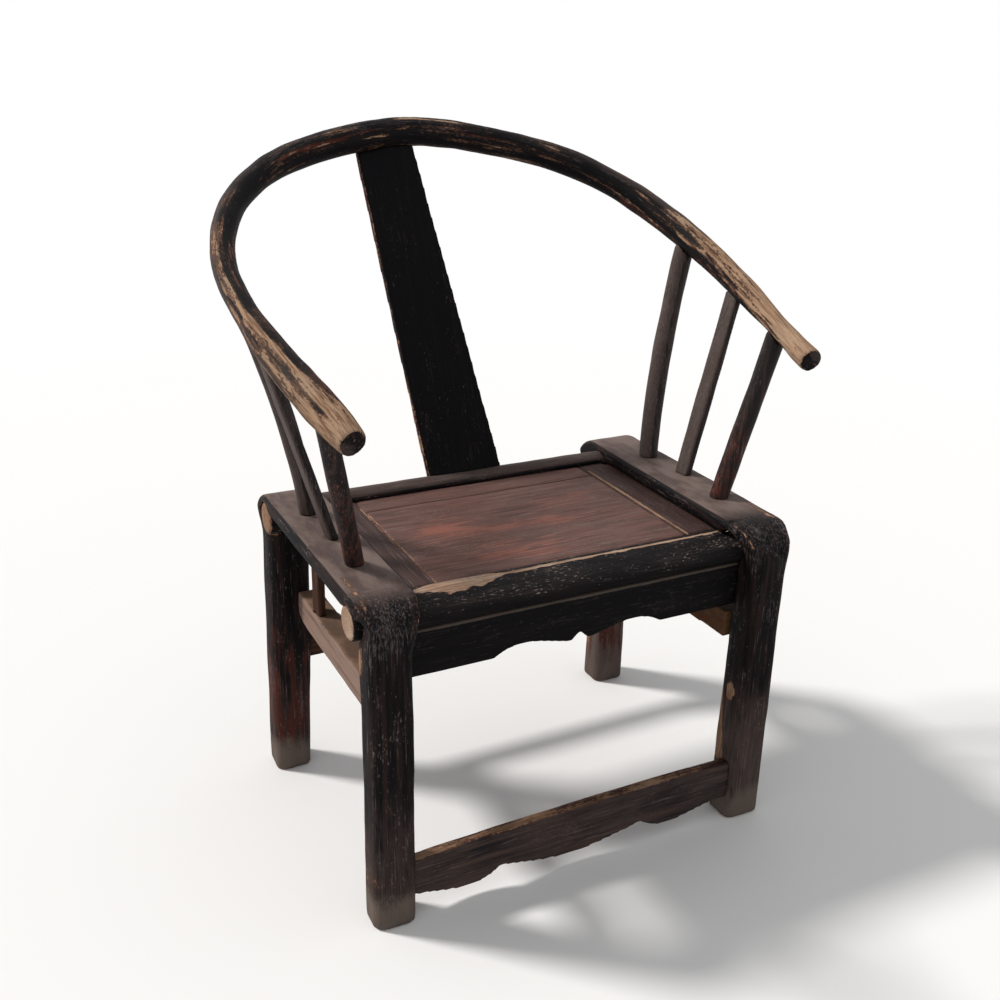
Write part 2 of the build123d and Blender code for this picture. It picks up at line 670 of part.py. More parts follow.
side_struts = {}
side_boards = {}
for side_name, side in SIDES.items():
    strut = side_strut(SIDE_BOARD_TOP[side_name])
    side_struts[side_name] = mirrored(strut, side)
    side_boards[side_name] = mirrored(side_board(side_name, strut), side)
    finish(side_struts[side_name], f"side_strut_{side_name}")
with BuildPart() as slotted_board:
    add(side_boards["left"])
    for slot_y in SLOT_YS:
        with Locations((-SLOT_X, slot_y, SIDE_BOARD_TOP["left"] - SLOT_DEPTH / 2)):
            Box(*SLOT_SIZE, SLOT_DEPTH, mode=Mode.SUBTRACT)
side_boards["left"] = slotted_board.part
for side_name, board in side_boards.items():
    finish(board, f"side_board_{side_name}")

# ---------------------------------------------------------------- seat
with BuildPart() as seat_key:
    with BuildSketch(Plane.XZ.offset(-KEY_FRONT_Y)):
        with Locations((KEY_X, SEAT_UNDERSIDE - KEY_HEIGHT / 2)):
            Rectangle(KEY_WIDTH, KEY_HEIGHT)
        with BuildLine():
            Polyline(
                (KEY_X - KEY_NECK_WIDTH / 2, SEAT_UNDERSIDE),
                (KEY_X + KEY_NECK_WIDTH / 2, SEAT_UNDERSIDE),
                (KEY_X + KEY_HEAD_WIDTH / 2, SEAT_UNDERSIDE + KEY_HEAD_DEPTH),
                (KEY_X - KEY_HEAD_WIDTH / 2, SEAT_UNDERSIDE + KEY_HEAD_DEPTH),
                close=True,
            )
        make_face()
    extrude(amount=KEY_FRONT_Y - KEY_REAR_Y)
seat_keys = {name: mirrored(seat_key.part, side) for name, side in SIDES.items()}
for side_name, key in seat_keys.items():
    finish(key, f"seat_key_{side_name}")

tongue_low = TONGUE_Z - TONGUE_THICKNESS / 2
tongue_high = TONGUE_Z + TONGUE_THICKNESS / 2
board_reach = SEAT_HALF_WIDTH + TONGUE_LENGTH


def seat_board(front_y, rear_y, tongue_front_y):
    """One board of the seat, tongued into the end battens and grooved for the keys."""
    with BuildPart() as board:
        add(
            block(
                (-SEAT_HALF_WIDTH, front_y, SEAT_UNDERSIDE), (SEAT_HALF_WIDTH, rear_y, SEAT_TOP)
            )
        )
        add(block((-board_reach, front_y, tongue_low), (board_reach, rear_y, tongue_high)))
        if tongue_front_y < front_y:
            add(
                block(
                    (-SEAT_HALF_WIDTH, tongue_front_y, tongue_low),
                    (SEAT_HALF_WIDTH, front_y, tongue_high),
                )
            )
        add(list(seat_keys.values()), mode=Mode.SUBTRACT)
    return board.part


front_tongue_y = SEAT_FRONT_Y - TONGUE_LENGTH
finish(seat_board(SEAT_FRONT_Y, SEAT_JOINT_Y, front_tongue_y), "seat_board_front")
finish(seat_board(SEAT_JOINT_Y, SEAT_REAR_Y, SEAT_JOINT_Y), "seat_board_rear")

with BuildPart() as seat_end:
    with BuildSketch(Plane.XY.offset(SEAT_UNDERSIDE)):
        with BuildLine():
            Polyline(
                (SEAT_HALF_WIDTH, SEAT_FRONT_Y), (BATTEN_FRONT_X, SEAT_FRONT_Y),
                (BATTEN_REAR_X, SEAT_REAR_Y), (SEAT_HALF_WIDTH, SEAT_REAR_Y),
                close=True,
            )
        make_face()
    extrude(amount=SEAT_THICKNESS)
    add(
        block(
            (board_reach, SEAT_FRONT_Y, SEAT_UNDERSIDE),
            (BATTEN_LIP_X, BATTEN_LIP_REAR_Y, BATTEN_LIP_TOP),
        )
    )
    add(
        block((SEAT_HALF_WIDTH, SEAT_FRONT_Y, tongue_low), (board_reach, SEAT_REAR_Y, tongue_high)),
        mode=Mode.SUBTRACT,
    )
    add(block((board_reach, front_tongue_y, tongue_low), (BATTEN_FRONT_X, SEAT_FRONT_Y, tongue_high)))
for side_name, side in SIDES.items():
    finish(mirrored(seat_end.part, side), f"seat_end_{side_name}")

# ---------------------------------------------------------------- seat rails
with BuildPart() as front_rail:
    with BuildSketch(Plane.YZ):
        with BuildLine():
            nose = Spline(
                (NOSE_ARRIS_Y, SEAT_TOP), (NOSE_FRONT_Y, NOSE_FRONT_Z),
                (NOSE_FOOT_Y, RAIL_UNDERSIDE), tangents=NOSE_TANGENTS,
            )
            Polyline(
                nose @ 1, (SEAT_FRONT_Y, RAIL_UNDERSIDE), (SEAT_FRONT_Y, SEAT_TOP), nose @ 0
            )
        make_face()
    extrude(amount=NOSE_HALF_WIDTH, both=True)
    with BuildSketch(Plane.YZ.offset(NOSE_HALF_WIDTH)):
        with Locations((FRONT_LOG_Y, FRONT_LOG_Z)):
            Circle(FRONT_LOG_DIAMETER / 2)
    extrude(amount=LOG_END_X - NOSE_HALF_WIDTH)
    with BuildSketch(Plane.YZ.offset(-NOSE_HALF_WIDTH)):
        with Locations((FRONT_LOG_Y, FRONT_LOG_Z)):
            Circle(FRONT_LOG_DIAMETER / 2)
    extrude(amount=NOSE_HALF_WIDTH - LOG_END_X)
    ends = front_rail.edges().sort_by(Axis.X)
    fillet([ends[0], ends[-1]], LOG_END_ROUNDING)
    add(
        block(
            (-BATTEN_FRONT_X, front_tongue_y, tongue_low),
            (BATTEN_FRONT_X, SEAT_FRONT_Y, tongue_high),
        ),
        mode=Mode.SUBTRACT,
    )
finish(front_rail.part, "front_seat_rail")

with BuildPart() as rear_rail:
    add(log(REAR_LOG_Y, REAR_LOG_Z, REAR_LOG_DIAMETER, LOG_END_X))
    ends = rear_rail.edges().filter_by(GeomType.CIRCLE)
    fillet(ends, LOG_END_ROUNDING)
    add(
        block(
            (-BATTEN_REAR_X, SEAT_JOINT_Y, SEAT_UNDERSIDE),
            (BATTEN_REAR_X, SEAT_REAR_Y, SEAT_TOP),
        ),
        mode=Mode.SUBTRACT,
    )
    add(splat_foot_mortise, mode=Mode.SUBTRACT)
finish(rear_rail.part, "rear_seat_rail")

# ---------------------------------------------------------------- bent frames
front_log_notch = log(FRONT_LOG_Y, FRONT_LOG_Z, FRONT_LOG_DIAMETER + 2 * FIT, SIDE_RAIL_OUTER_X)
rear_log_notch = log(REAR_LOG_Y, REAR_LOG_Z, REAR_LOG_DIAMETER + 2 * FIT, SIDE_RAIL_OUTER_X)
for side_name, side in SIDES.items():
    with BuildPart() as leg_frame:
        add(mirrored(FRAME_BLANKS[side_name], side))
        add([front_log_notch, rear_log_notch, front_rail.part], mode=Mode.SUBTRACT)
        add([front_apron.part, rear_apron.part, front_stretcher.part], mode=Mode.SUBTRACT)
        add([side_boards[side_name], side_struts[side_name]], mode=Mode.SUBTRACT)
        add(rail_mortises[side_name], mode=Mode.SUBTRACT)
    finish(leg_frame.part, f"leg_frame_{side_name}")
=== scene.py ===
"""Worn horseshoe back armchair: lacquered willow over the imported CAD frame. Metres, Z up, front at -Y."""

import math
from itertools import product

import bmesh
import bpy
import numpy as np
from mathutils import Matrix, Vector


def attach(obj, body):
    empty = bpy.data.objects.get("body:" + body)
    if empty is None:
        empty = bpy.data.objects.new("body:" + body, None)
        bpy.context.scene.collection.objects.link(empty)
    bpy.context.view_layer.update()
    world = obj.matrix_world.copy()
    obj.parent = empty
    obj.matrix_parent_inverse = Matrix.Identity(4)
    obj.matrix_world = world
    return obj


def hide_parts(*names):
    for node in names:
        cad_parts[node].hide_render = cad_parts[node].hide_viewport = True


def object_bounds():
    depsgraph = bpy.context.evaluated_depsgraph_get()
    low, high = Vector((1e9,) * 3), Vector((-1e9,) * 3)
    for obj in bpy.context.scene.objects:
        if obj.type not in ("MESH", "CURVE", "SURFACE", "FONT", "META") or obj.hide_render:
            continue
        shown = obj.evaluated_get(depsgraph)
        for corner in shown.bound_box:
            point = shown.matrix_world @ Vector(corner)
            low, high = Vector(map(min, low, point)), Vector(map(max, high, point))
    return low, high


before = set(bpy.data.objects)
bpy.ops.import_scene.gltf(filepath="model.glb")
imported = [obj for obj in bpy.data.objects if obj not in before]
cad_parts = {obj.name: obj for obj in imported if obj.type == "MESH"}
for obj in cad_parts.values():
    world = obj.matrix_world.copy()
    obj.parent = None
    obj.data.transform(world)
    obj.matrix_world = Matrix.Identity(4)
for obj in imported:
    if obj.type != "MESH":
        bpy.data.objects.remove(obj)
cad_low, cad_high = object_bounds()
scene = bpy.context.scene
LOW = np.array(cad_low)
HIGH = np.array(cad_high)

# ------------------------------------------------------------------ places on the chair, in metres
SIDES = (("left", -1), ("right", 1))
TIP_LEFT = (-.2856, -.2885, .5868)
TIP_RIGHT = (.2916, -.2495, .5982)
CREST_BACK = (0, .272, .8163)
CREST_SIDE = [                 # from the back round to the right arm; the left side mirrors it
    (.109, .253, .8052), (.205, .213, .782), (.277, .146, .7435),
    (.311, .065, .703), (.318, -.024, .6695), (.308, -.140, .6305),
]
CREST_POINTS = [
    TIP_LEFT, *((-x, y, z) for x, y, z in reversed(CREST_SIDE)), CREST_BACK, *CREST_SIDE, TIP_RIGHT,
]
FRONT_LEG_Y = -.262
REAR_LEG_Y = {"left": .0855, "right": .103}
RAIL_MID_Z = .393              # height of a side rail's middle line
SPINDLE_FEET = {               # distance from the middle plane, y, radius
    "left": [(.2475, -.005, .0115), (.2425, -.084, .013), (.243, -.1625, .011)],
    "right": [(.2545, .005, .013), (.255, -.071, .013), (.251, -.161, .0125)],
}
SPLAT_RUN, SPLAT_RISE = .41, .912      # the splat's slope, as a unit vector
SEAM_X = .165                  # where the seat boards meet the end battens
SEAT_FACE_Z = .38              # what is higher belongs to the seat's upper face
RAIL_END_X = .27               # the seat rails' end grain lies beyond this
SHOULDER_X = (.200, .213, .2225, .2275)    # where a shoulder's press starts, is full, fades and ends
SHOULDER_PRESS = .0012         # how far a shoulder is pressed outwards
PICTURE_RIGHT = np.array((.889, -.458, 0))    # towards the right of the photograph
WORN_SIDE = np.array((-.63, -1.25, .95))   # the handled faces look towards this place


# ------------------------------------------------------------------ numeric helpers
def smoothstep(low, high, value):
    """0 below low, 1 above high, smooth between."""
    share = np.clip((value - low) / (high - low), 0, 1)
    return share * share * (3 - 2 * share)


def dot(a, b):
    """The scalar product of a and b for each row."""
    return (a * b).sum(1)


def unit(a):
    """Each row of a, made one long."""
    return a / np.linalg.norm(a, axis=1)[:, None]


HASH_X, HASH_Y, HASH_Z, HASH_MIX = 374761393, 668265263, 2147483647, 1274126177
WORD = 0xFFFFFFFF


def lattice(cell, seed):
    """A repeatable random number from -1 to 1 for each integer cell."""
    x, y, z = cell.T
    mixed = (x * HASH_X + y * HASH_Y + z * HASH_Z + seed * HASH_MIX) & WORD
    mixed = ((mixed ^ (mixed >> 13)) * HASH_MIX) & WORD
    mixed = mixed ^ (mixed >> 16)
    return (mixed & 0xFFFFFF) / 0x7FFFFF - 1.0


def noise(points, size, seed=0):
    """Smooth value noise from -1 to 1. size is one feature's length, or one for each axis."""
    scaled = points / np.array(size, float)
    base = np.floor(scaled).astype(np.int64)
    part = scaled - base
    part = part * part * (3 - 2 * part)
    total = np.zeros(len(points))
    for corner in product((0, 1), repeat=3):
        weight = np.prod(np.where(corner, part, 1 - part), axis=1)
        total += weight * lattice(base + corner, seed)
    return total


def dense(points, count):
    """A smooth curve through the points, as count points evenly spaced by index."""
    knots = np.array(points, float)
    knots = np.vstack([2 * knots[0] - knots[1], knots, 2 * knots[-1] - knots[-2]])
    spans = len(points) - 1
    place = np.linspace(0, spans, count)
    first = np.minimum(place.astype(int), spans - 1)
    part = (place - first)[:, None]
    a, b, c, d = (knots[first + step] for step in range(4))
    return 0.5 * (2 * b + (c - a) * part + (2 * a - 5 * b + 4 * c - d) * part ** 2
                  + (3 * b - a - 3 * c + d) * part ** 3)


def follow(co, line):
    """Each vertex's place along a line, its offset and the line's direction; then the line's length."""
    steps = np.linalg.norm(np.diff(line, axis=0), axis=1)
    lengths = np.concatenate([[0], np.cumsum(steps)])
    batch = 4000
    index = np.concatenate([
        ((co[start:start + batch, None, :] - line[None, :, :]) ** 2).sum(2).argmin(1)
        for start in range(0, len(co), batch)
    ])
    tangent = unit(np.gradient(line, axis=0))[index]
    delta = co - line[index]
    slide = dot(delta, tangent)
    return lengths[index] + slide, delta - slide[:, None] * tangent, tangent, lengths[-1]


# ------------------------------------------------------------------ worn meshes
class Piece:
    """A dense, slightly worn copy of one CAD node, with its painted wear and painted light."""

    LAYERS = ("bare", "red", "dust", "veil", "scuff")
    EDGE_ROUNDS, EDGE_SHARE, EDGE_DEPTH = 14, .6, .0008    # an edge stands out from a well blurred copy

    def __init__(self, node, voxel, soften=2):
        self.node = node
        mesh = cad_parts[node].data.copy()
        work = bmesh.new()
        work.from_mesh(mesh)
        bmesh.ops.remove_doubles(work, verts=work.verts, dist=1e-6)
        work.to_mesh(mesh)
        work.free()
        self.object = bpy.data.objects.new(node + "_wood", mesh)
        scene.collection.objects.link(self.object)
        remesh = self.object.modifiers.new("remesh", "REMESH")
        remesh.mode = "VOXEL"
        remesh.voxel_size = voxel
        bpy.context.view_layer.update()
        graph = bpy.context.evaluated_depsgraph_get()
        self.mesh = bpy.data.meshes.new_from_object(self.object.evaluated_get(graph))
        self.object.modifiers.clear()
        self.object.data = self.mesh
        self.mesh.name = node + "_wood"
        count = len(self.mesh.vertices)
        self.co = np.empty(count * 3, np.float32)
        self.mesh.vertices.foreach_get("co", self.co)
        self.co = self.co.reshape(-1, 3).astype(float)
        ends = np.empty(len(self.mesh.edges) * 2, np.int32)
        self.mesh.edges.foreach_get("vertices", ends)
        self.ends = ends.reshape(-1, 2)
        self.degree = np.bincount(self.ends.ravel(), minlength=count).clip(1)
        self.co = self.blurred(self.co, soften, 0.5)
        self.write()
        wide = self.blurred(self.co, self.EDGE_ROUNDS, self.EDGE_SHARE)
        self.edge = dot(self.co - wide, self.normals()) / self.EDGE_DEPTH
        self.attributes = {}

    def blurred(self, values, rounds, share):
        """Values averaged with their neighbours, several times over."""
        a, b = self.ends.T
        for _ in range(rounds):
            total = np.zeros_like(values)
            for axis in range(values.shape[1]):
                total[:, axis] = (
                    np.bincount(a, values[b, axis], len(values))
                    + np.bincount(b, values[a, axis], len(values))
                )
            values = values + share * (total / self.degree[:, None] - values)
        return values

    def write(self):
        """Put the changed vertices back, kept inside the CAD box."""
        self.co = np.clip(self.co, LOW, HIGH)
        self.mesh.vertices.foreach_set("co", self.co.astype(np.float32).ravel())
        self.mesh.update()

    def normals(self):
        values = np.empty(len(self.co) * 3, np.float32)
        self.mesh.vertex_normals.foreach_get("vector", values)
        return values.reshape(-1, 3).astype(float)

    def fill_shoulders(self):
        """Press a cross piece's shoulders into the leg frames, so that no light shows past them."""
        start, shoulder, inside, end = SHOULDER_X
        out = np.abs(self.co[:, 0])
        press = SHOULDER_PRESS * smoothstep(start, shoulder, out) * smoothstep(end, inside, out)
        self.co[:, 0] += np.sign(self.co[:, 0]) * press
        self.write()

    def shift(self, axis, amount):
        """Move every vertex along one axis by its own amount."""
        self.co[:, axis] += amount
        self.write()

    def grain_axis(self, order):
        """Straight grain: the axis that the fibres run along comes first."""
        self.grain = self.co[:, order]

    def wear(self, ripple, lump, seed):
        """Shallow grooves along the grain and slow hand-made unevenness."""
        normal = self.normals()
        grooves = noise(self.grain, (.16, .009, .009), seed)
        fine = noise(self.grain, (.05, .004, .004), seed + 1)
        lumps = noise(self.co, .055, seed + 2) + 0.5 * noise(self.co, .022, seed + 3)
        self.co = self.co + normal * (
            ripple * (0.7 * grooves + 0.3 * fine) + lump * lumps
        )[:, None]
        self.write()

    def paint(self, **layers):
        """Set how far each kind of wear and painted light goes, as one value or one for each vertex."""
        for name, values in layers.items():
            self.attributes[name] = np.clip(values + np.zeros(len(self.co)), -1, 2)

    def done(self, material):
        """Store the wear, the painted light and the grain on the mesh, and let it stand in for the CAD
        node.
        """
        for name in self.LAYERS:
            values = self.attributes.get(name, np.zeros(len(self.co)))
            layer = self.mesh.attributes.new(name, "FLOAT", "POINT")
            layer.data.foreach_set("value", values.astype(np.float32))
        layer = self.mesh.attributes.new("edge", "FLOAT", "POINT")
        layer.data.foreach_set("value", np.clip(self.edge, -2, 2).astype(np.float32))
        layer = self.mesh.attributes.new("grain", "FLOAT_VECTOR", "POINT")
        layer.data.foreach_set("vector", self.grain.astype(np.float32).ravel())
        self.mesh.shade_smooth()
        self.mesh.materials.clear()
        self.mesh.materials.append(material)
        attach(self.object, "root")
        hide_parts(self.node)


# ------------------------------------------------------------------ material
class Nodes:
    """Short calls for building the node tree of a material or the world."""

    def __init__(self, owner):
        owner.use_nodes = True
        self.tree = owner.node_tree
        self.tree.nodes.clear()

    def add(self, kind, **settings):
        node = self.tree.nodes.new(kind)
        for key, value in settings.items():
            setattr(node, key, value)
        return node

    def link(self, source, target):
        """Feed an input with a socket, a number or a colour."""
        if isinstance(source, (int, float)):
            target.default_value = source
        elif isinstance(source, tuple):
            target.default_value = (*source, 1.0)
        else:
            self.tree.links.new(source, target)

    def math(self, operation, a, b, clamp=False):
        node = self.add("ShaderNodeMath", operation=operation, use_clamp=clamp)
        for value, target in zip((a, b), node.inputs):
            self.link(value, target)
        return node.outputs[0]

    def times(self, a, b):
        return self.math("MULTIPLY", a, b)

    def total(self, first, *others):
        for term in others:
            first = self.math("ADD", first, term)
        return first

    def swing(self, value, gain):
        """A noise about one half, as a swing about zero."""
        return self.times(self.math("SUBTRACT", value, .5), gain)

    def rest(self, share):
        """What a share leaves of the whole."""
        return self.math("SUBTRACT", 1.0, share)

    def read(self, name):
        node = self.add("ShaderNodeAttribute", attribute_type="GEOMETRY", attribute_name=name)
        return node.outputs["Vector"] if name == "grain" else node.outputs["Fac"]

    def noise(self, scale, detail, roughness, shift=0.0):
        """Noise along the grain. Different shifts keep two noises apart."""
        mapping = self.add("ShaderNodeMapping", vector_type="POINT")
        self.link(self.grain, mapping.inputs["Vector"])
        mapping.inputs["Scale"].default_value = scale
        mapping.inputs["Location"].default_value = (shift, shift * 1.7, shift * 0.6)
        node = self.add("ShaderNodeTexNoise", noise_dimensions="3D")
        node.inputs["Scale"].default_value = 1.0
        node.inputs["Detail"].default_value = detail
        node.inputs["Roughness"].default_value = roughness
        self.link(mapping.outputs[0], node.inputs["Vector"])
        return node.outputs["Fac"]

    def step(self, value, low, high):
        """0 to 1 as value goes from low to high, smooth."""
        node = self.add("ShaderNodeMapRange", interpolation_type="SMOOTHSTEP")
        self.link(value, node.inputs["Value"])
        node.inputs["From Min"].default_value = low
        node.inputs["From Max"].default_value = high
        return node.outputs["Result"]

    def mix(self, share, a, b):
        node = self.add("ShaderNodeMix", data_type="RGBA")
        self.link(share, node.inputs[0])
        self.link(a, node.inputs[6])
        self.link(b, node.inputs[7])
        return node.outputs[2]

    def blend(self, share, a, b):
        """A mix of two shaders."""
        node = self.add("ShaderNodeMixShader")
        for value, target in zip((share, a, b), node.inputs):
            self.link(value, target)
        return node.outputs[0]

    def surface(self, shader, kind):
        output = self.add(kind)
        self.link(shader, output.inputs["Surface"])


def old_wood(name, look):
    """Old lacquer over brown wood, with some painted light. look holds the colours and how far each kind of
    wear and painted light goes.
    """
    material = bpy.data.materials.new(name)
    n = Nodes(material)
    n.grain = n.read("grain")
    fibre = n.noise((22, 620, 620), 3, .6)
    streak = n.noise((9, 130, 130), 3, .6, 3.1)
    patch = n.noise((16, 34, 34), 3, .6, 7.7)
    flake = n.noise((170, 430, 430), 3, .65, 1.3)
    crumb = n.noise((380, 620, 620), 2, .6, 5.2)
    edge, bare, red, dust, veil, scuff = map(n.read, ("edge", "bare", "red", "dust", "veil", "scuff"))

    # lacquer, with a pale veil where hands and weather have dulled it; the veil also serves as painted
    # light on faces turned towards the light and as a painted reflection
    lacquer = n.mix(n.step(streak, .42, .68), look["lacquer"], look["lacquer_worn"])
    veil_share = n.step(n.total(veil, n.swing(patch, .9), n.swing(fibre, .5)), .1, .95)
    veil_colour = n.mix(n.step(patch, .35, .65), look["veil"], look["veil_dark"])
    colour = n.mix(veil_share, lacquer, veil_colour)

    # red undercoat
    red_share = n.total(red, n.swing(patch, 1.3), n.swing(streak, 1.2), n.swing(fibre, look["red_fibre"]))
    red_share = n.step(red_share, look["red_low"], look["red_high"])
    colour = n.mix(n.times(red_share, look["red_most"]), colour, look["red"])

    # bare wood on worn places and edges, with a rim of thin lacquer round it
    edge_bare = n.times(n.math("SUBTRACT", edge, look["edge_from"]), look["edge_gain"])
    ragged = n.total(n.swing(flake, 1.1), n.swing(patch, .9), n.swing(streak, look["streaky"]))
    bare_all = n.total(n.math("MAXIMUM", bare, edge_bare), ragged)
    bare_share = n.step(bare_all, .5, .62)
    covered = n.rest(bare_share)
    rim = n.times(n.step(bare_all, look["rim_from"], .5), covered)
    colour = n.mix(n.times(rim, look["rim"]), colour, look.get("rim_colour", look["red"]))
    wood = n.mix(n.step(fibre, .40, .62), look["bare"], look["bare_dark"])
    wood = n.mix(n.times(n.step(patch, .45, .75), .45), wood, look["bare_light"])
    colour = n.mix(bare_share, colour, wood)

    # grey scuffs, flecks and scratches
    scuffed = n.total(n.times(fibre, .85), n.times(patch, .45), n.times(flake, .45), n.times(scuff, .13))
    scuffed = n.times(n.step(scuffed, .97, 1.09), look["scuff_most"])
    colour = n.mix(n.times(scuffed, covered), colour, look["scuff"])
    fleck = n.total(flake, n.swing(patch, .35), n.swing(crumb, .25), n.times(scuff, look["fleck_scuff"]))
    fleck = n.step(fleck, look["fleck_low"], look["fleck_low"] + .025)
    colour = n.mix(n.times(fleck, look["fleck"]), colour, look["fleck_colour"])
    scratch = n.step(fibre, look["scratch_low"], look["scratch_low"] + .06)
    colour = n.mix(n.times(scratch, look["scratch"]), colour, look["fleck_colour"])

    # dust, which gathers in hollows; the same layer paints a highlight along the apron's top edge
    cavity = n.math("MULTIPLY", edge, -.4, clamp=True)
    dust_all = n.total(dust, n.times(cavity, look["cavity"]), n.swing(patch, .8), n.swing(crumb, .5))
    dust_share = n.step(dust_all, .3, .95)
    colour = n.mix(n.times(dust_share, .8), colour, look["dust"])

    # dull where bare, dusty or under the painted highlight, with a fine relief
    rough = n.math("ADD", look["rough"], n.times(streak, .18))
    rough = n.math("ADD", rough, n.times(n.math("MAXIMUM", bare_share, dust_share), .25), clamp=True)
    bump = n.add("ShaderNodeBump")
    bump.inputs["Strength"].default_value = look["bump"]
    bump.inputs["Distance"].default_value = .0006
    n.link(n.total(n.times(fibre, .5), n.times(bare_share, -.9), n.times(fleck, -.5),
                   n.times(crumb, .35), n.times(flake, .5)), bump.inputs["Height"])
    shader = n.add("ShaderNodeBsdfPrincipled")
    n.link(colour, shader.inputs["Base Color"])
    n.link(rough, shader.inputs["Roughness"])
    shader.inputs["Specular IOR Level"].default_value = look["specular"]
    n.link(bump.outputs[0], shader.inputs["Normal"])
    n.surface(shader.outputs[0], "ShaderNodeOutputMaterial")
    return material


BASE = dict(
    lacquer=(.0045, .0038, .0046), lacquer_worn=(.013, .0088, .0088),
    veil=(.190, .141, .125), veil_dark=(.098, .066, .058), red=(.080, .019, .012),
    bare=(.34, .205, .13), bare_dark=(.17, .09, .055), bare_light=(.46, .32, .22),
    fleck_colour=(.20, .16, .14), dust=(.17, .135, .113), scuff=(.085, .072, .074),
    red_low=.55, red_high=.85, red_most=.85, red_fibre=.5, streaky=.8, edge_from=.9, edge_gain=.55,
    rim=.5, rim_from=.34, scuff_most=.8, fleck=.5, fleck_low=.66, fleck_scuff=0.0,
    scratch=.3, scratch_low=.64, cavity=.3, rough=.5, bump=.55, specular=.07,
)
crest_wood = old_wood("crest_lacquer", BASE | dict(
    bare=(.40, .26, .17), bare_dark=(.19, .105, .062), bare_light=(.54, .39, .275),
    veil=(.09, .07, .065), veil_dark=(.04, .028, .025),
    fleck=.25, fleck_low=.67, scratch=.2, scuff_most=.35, edge_gain=0, streaky=2.1,
    dust=(.175, .118, .082), rim=.85, rim_from=.18, rim_colour=(.115, .058, .036)))
frame_wood = old_wood("frame_lacquer", BASE | dict(
    lacquer_worn=(.024, .014, .013), fleck=.45, fleck_low=.665, scratch=.35, edge_from=.85,
    edge_gain=.65, rim=.7, rim_colour=(.11, .045, .026)))
seat_wood = old_wood("seat_lacquer", BASE | dict(
    lacquer=(.135, .068, .058), lacquer_worn=(.085, .044, .037), veil=(.17, .092, .079),
    veil_dark=(.085, .050, .043), red=(.27, .100, .072), red_most=.8, red_low=.50, red_high=.70,
    red_fibre=2.2, fleck=.40, fleck_low=.65, scratch=.40, scratch_low=.575, fleck_colour=(.25, .17, .14),
    edge_from=1.5, edge_gain=.5, cavity=.1, bump=.4, specular=.12))
end_board_wood = old_wood("seat_end_lacquer", BASE | dict(
    lacquer=(.050, .027, .024), lacquer_worn=(.030, .018, .016), veil=(.115, .066, .058),
    veil_dark=(.05, .028, .025), red=(.13, .045, .03), fleck=.3, scratch=.35, scratch_low=.60,
    edge_from=1.3, edge_gain=.5, cavity=.1, bump=.4, specular=.12))
nose_wood = old_wood("front_rail_lacquer", BASE | dict(
    bare=(.43, .295, .21), bare_dark=(.23, .135, .09), bare_light=(.62, .48, .38),
    lacquer_worn=(.010, .0075, .0075), fleck=.8, scratch=.1, edge_from=1.2, streaky=.9,
    fleck_low=.71, fleck_scuff=.07, scuff_most=.1, rim=.8, rim_from=.25, rim_colour=(.10, .05, .035)))
apron_wood = old_wood("apron_lacquer", BASE | dict(
    lacquer_worn=(.008, .0065, .0075), fleck=.12, scratch=.1, scuff_most=.12, edge_from=1.2,
    edge_gain=.35))
stretcher_wood = old_wood("stretcher_lacquer", BASE | dict(
    lacquer=(.018, .014, .015), lacquer_worn=(.075, .05, .042), fleck=.3, scratch=.35,
    edge_from=1.0, edge_gain=.4, bare=(.26, .15, .09), bare_dark=(.12, .065, .04)))
board_wood = old_wood("side_board_wood", BASE | dict(
    lacquer=(.27, .182, .147), lacquer_worn=(.18, .115, .09), red=(.09, .045, .028), red_most=.5,
    veil=(.24, .152, .105), veil_dark=(.13, .078, .052), fleck=.15, scratch=.2, edge_gain=.4,
    bare=(.42, .28, .19), bare_dark=(.28, .17, .11), bare_light=(.5, .36, .26), rough=.7))
warm_board_wood = old_wood("side_board_warm_wood", BASE | dict(
    lacquer=(.17, .085, .036), lacquer_worn=(.11, .05, .02), red=(.14, .04, .015), red_most=.5,
    veil=(.10, .06, .035), veil_dark=(.05, .03, .02), fleck=.1, scratch=.2, edge_gain=.3, rough=.7))
inner_wood = old_wood("inner_wood", BASE | dict(
    lacquer=(.045, .020, .012), lacquer_worn=(.10, .045, .026), red=(.12, .035, .02),
    fleck=.15, scratch=.3, edge_gain=.3))
spindle_wood = old_wood("spindle_lacquer", BASE | dict(
    lacquer=(.014, .0105, .010), lacquer_worn=(.045, .033, .030), red=(.11, .026, .014), red_most=.8,
    red_fibre=2.6, red_low=.62, fleck=.35, fleck_low=.655, scratch=.3, edge_from=1.6, edge_gain=.3,
    specular=.15))
splat_wood = old_wood("splat_lacquer", BASE | dict(
    lacquer=(.0035, .0032, .0042), lacquer_worn=(.0065, .0055, .006), fleck=.35, fleck_low=.69,
    scratch=.15, scratch_low=.70, scuff_most=.12, edge_from=1.2, edge_gain=.3, rough=.45,
    specular=.05))


def plain_piece(node, voxel, order, lump, seed):
    """A piece of plain inner wood, slightly uneven and without painted wear."""
    piece = Piece(node, voxel)
    piece.grain_axis(order)
    piece.wear(.0002, lump, seed)
    piece.done(inner_wood)


def end_grain(piece):
    """1 where a seat rail's end comes out of its leg frame, 0 elsewhere."""
    return smoothstep(.7, .95, np.abs(piece.normals()[:, 0])) * (np.abs(piece.co[:, 0]) > RAIL_END_X)


